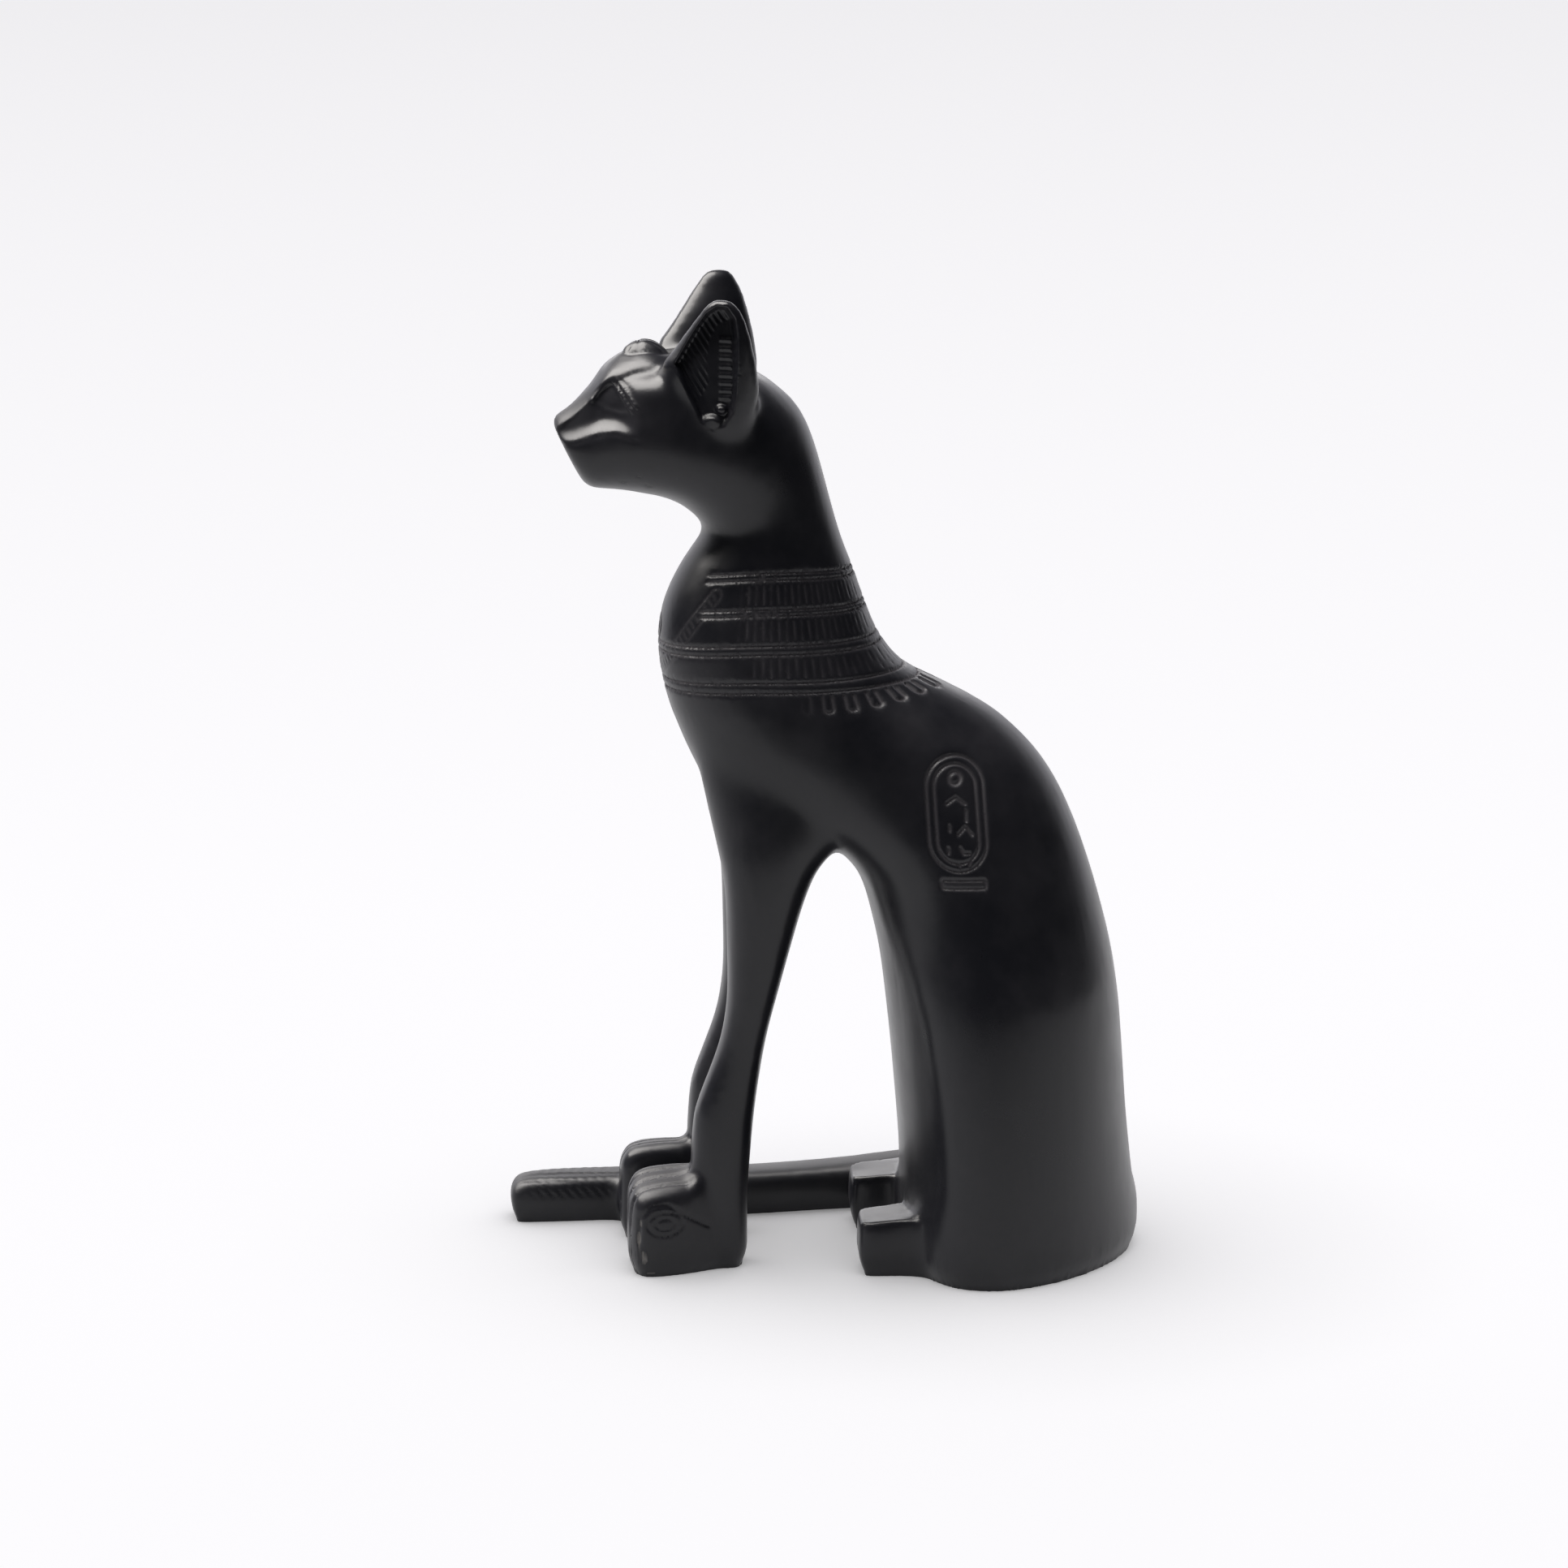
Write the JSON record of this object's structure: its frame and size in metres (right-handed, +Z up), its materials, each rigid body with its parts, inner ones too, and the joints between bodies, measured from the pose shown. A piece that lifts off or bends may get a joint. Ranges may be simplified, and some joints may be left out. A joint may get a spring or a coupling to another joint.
{
  "type": "cat figure",
  "caption": "Seated cat figure in black cast stone, upright on its haunches, with a cut collar, a scarab on its brow and its tail laid along its right side.",
  "frame": {"origin": "on the underside, below the middle of the figure's box", "axes": "+Z up, -Y the way the cat faces, +X its left side"},
  "size_m": [0.0556, 0.0964, 0.1498],
  "materials": {
    "cast_black": "satin"
  },
  "bodies": {
    "root": {"bastet_cat": "cast_black"}
  },
  "joints": []
}
